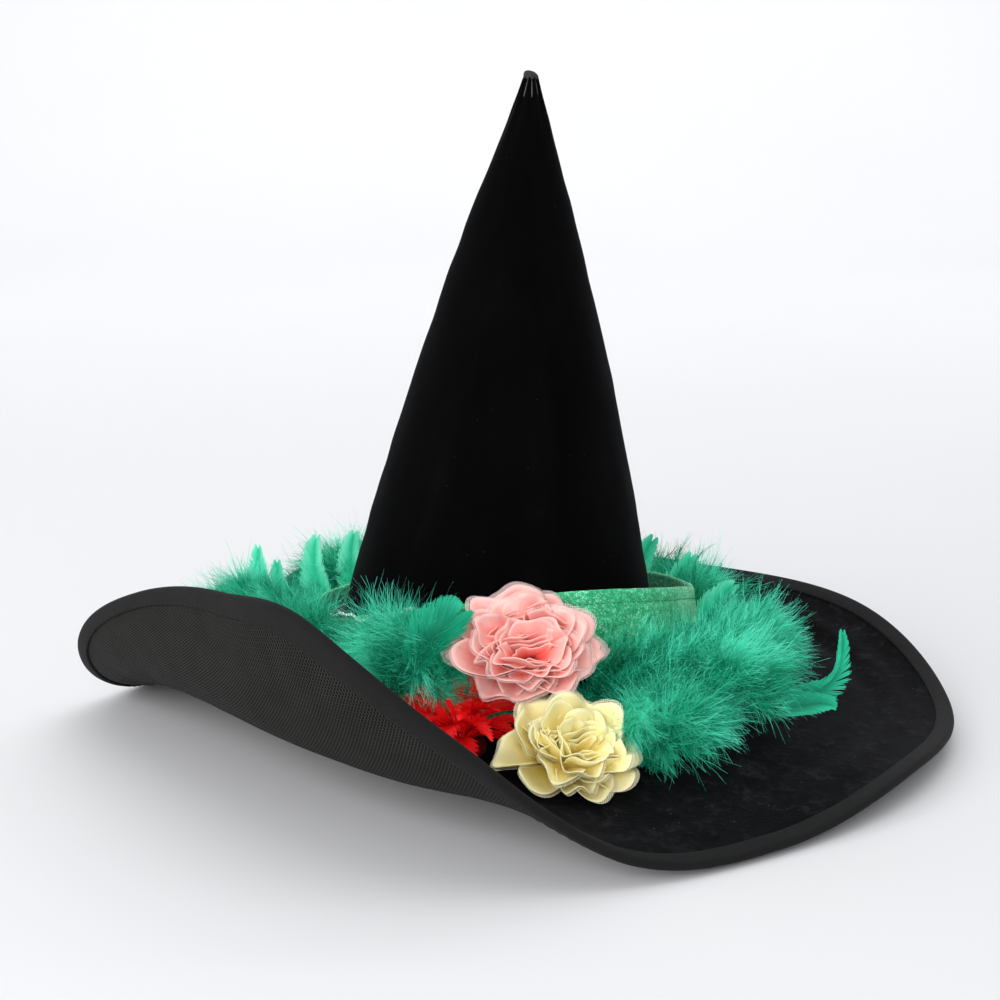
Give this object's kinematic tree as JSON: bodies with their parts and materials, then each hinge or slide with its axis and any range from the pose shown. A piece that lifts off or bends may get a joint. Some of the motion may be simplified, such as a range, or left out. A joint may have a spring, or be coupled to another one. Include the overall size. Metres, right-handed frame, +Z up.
{
  "type": "witch hat",
  "caption": "Costume witch hat: leaning velvet cone crown, wide wired brim rolled up at one side, green band and feather boa, fabric flowers and a bead strand.",
  "frame": {"origin": "on the surface that the hat lies on, under the middle of its outline", "axes": "+Z up along the crown, +Y away from the flowered side, +X towards the side that the crown leans to"},
  "size_m": [0.523, 0.5203, 0.3861],
  "materials": {
    "crown_velvet": "deep black velvet",
    "buckram": "stiffened cloth",
    "lining": "satin lining",
    "sweatband": "grosgrain ribbon",
    "brim_velvet": "blotchy black velvet nap",
    "brim_net": "open woven stiff cloth",
    "wire": "drawn wire",
    "binding": "matte bias tape",
    "black_thread": "spun thread",
    "wadding": "soft wadding",
    "band_velvet": "crushed green velvet with glitter",
    "green_thread": "spun thread",
    "silver_bead": "metallised",
    "boa_cord": "twisted cord",
    "green_feather": "dyed marabou down",
    "grey_felt": "pressed felt",
    "pink_satin": "satin and tulle",
    "yellow_satin": "satin and tulle",
    "red_felt": "pressed felt",
    "red_feather": "dyed feather"
  },
  "bodies": {
    "root": {"crown_velvet": "crown_velvet", "crown_tip": "crown_velvet", "crown_buckram": "buckram", "crown_lining": "lining", "sweatband": "sweatband", "brim_velvet": "brim_velvet", "brim_core": "buckram", "brim_net": "brim_net", "brim_wire": "wire", "brim_binding": "binding", "stitch_top": "black_thread", "stitch_under": "black_thread", "band_wadding": "wadding", "hat_band": "band_velvet", "band_stitch": "green_thread", "beads": "silver_bead", "bead_thread": "green_thread", "boa_cord": "boa_cord", "boa_tuft_1": "green_feather", "boa_tuft_2": "green_feather", "boa_tuft_3": "green_feather", "boa_tuft_4": "green_feather", "boa_tuft_5": "green_feather", "boa_tuft_6": "green_feather", "boa_tuft_7": "green_feather", "boa_tuft_8": "green_feather", "boa_tuft_9": "green_feather", "plumes_left": "green_feather", "plumes_right": "green_feather", "hackle_feathers": "green_feather", "smooth_feather": "green_feather", "pink_felt": "grey_felt", "pink_outer": "pink_satin", "pink_middle": "pink_satin", "pink_heart": "pink_satin", "yellow_felt": "grey_felt", "yellow_outer": "yellow_satin", "yellow_middle": "yellow_satin", "yellow_heart": "yellow_satin", "red_felt": "red_felt", "red_feathers": "red_feather"}
  },
  "joints": []
}
